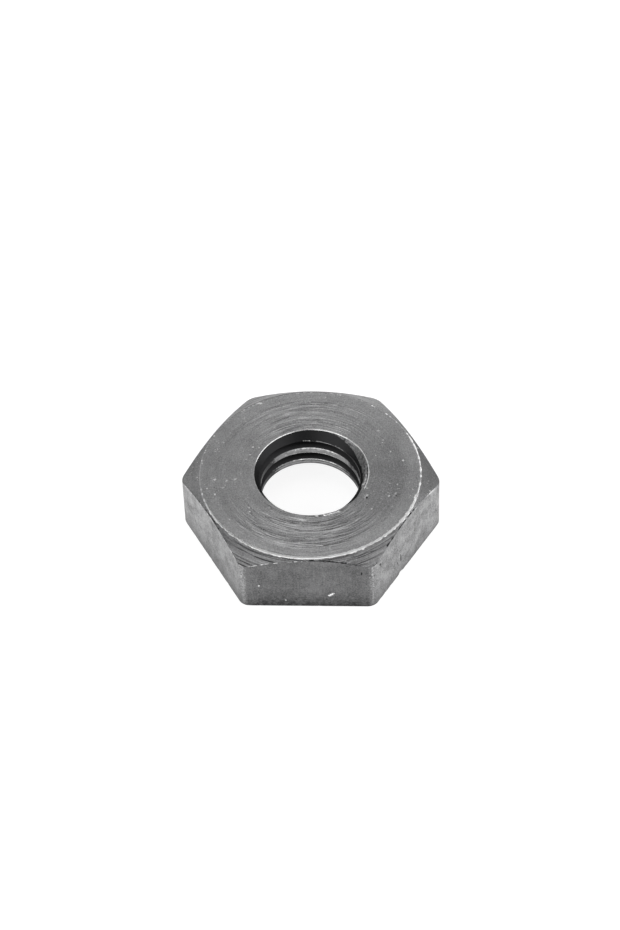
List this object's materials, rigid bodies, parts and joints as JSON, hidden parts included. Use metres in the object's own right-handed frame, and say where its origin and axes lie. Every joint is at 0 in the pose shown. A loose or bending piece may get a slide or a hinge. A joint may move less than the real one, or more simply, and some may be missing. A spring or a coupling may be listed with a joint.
{
  "type": "lock nut",
  "caption": "Thin steel hexagon lock nut, chamfered on its top face, with a threaded bore and a round recess in its underside.",
  "frame": {"origin": "centre of the underside, on the bore axis", "axes": "+Z along the bore axis, from the underside towards the chamfered top face; +X through two opposite corners; +Y square to two opposite spanner flats"},
  "size_m": [0.0274, 0.024, 0.0076],
  "materials": {
    "turned_steel": "turned, slightly worn"
  },
  "bodies": {
    "root": {"nut": "turned_steel"}
  },
  "joints": []
}
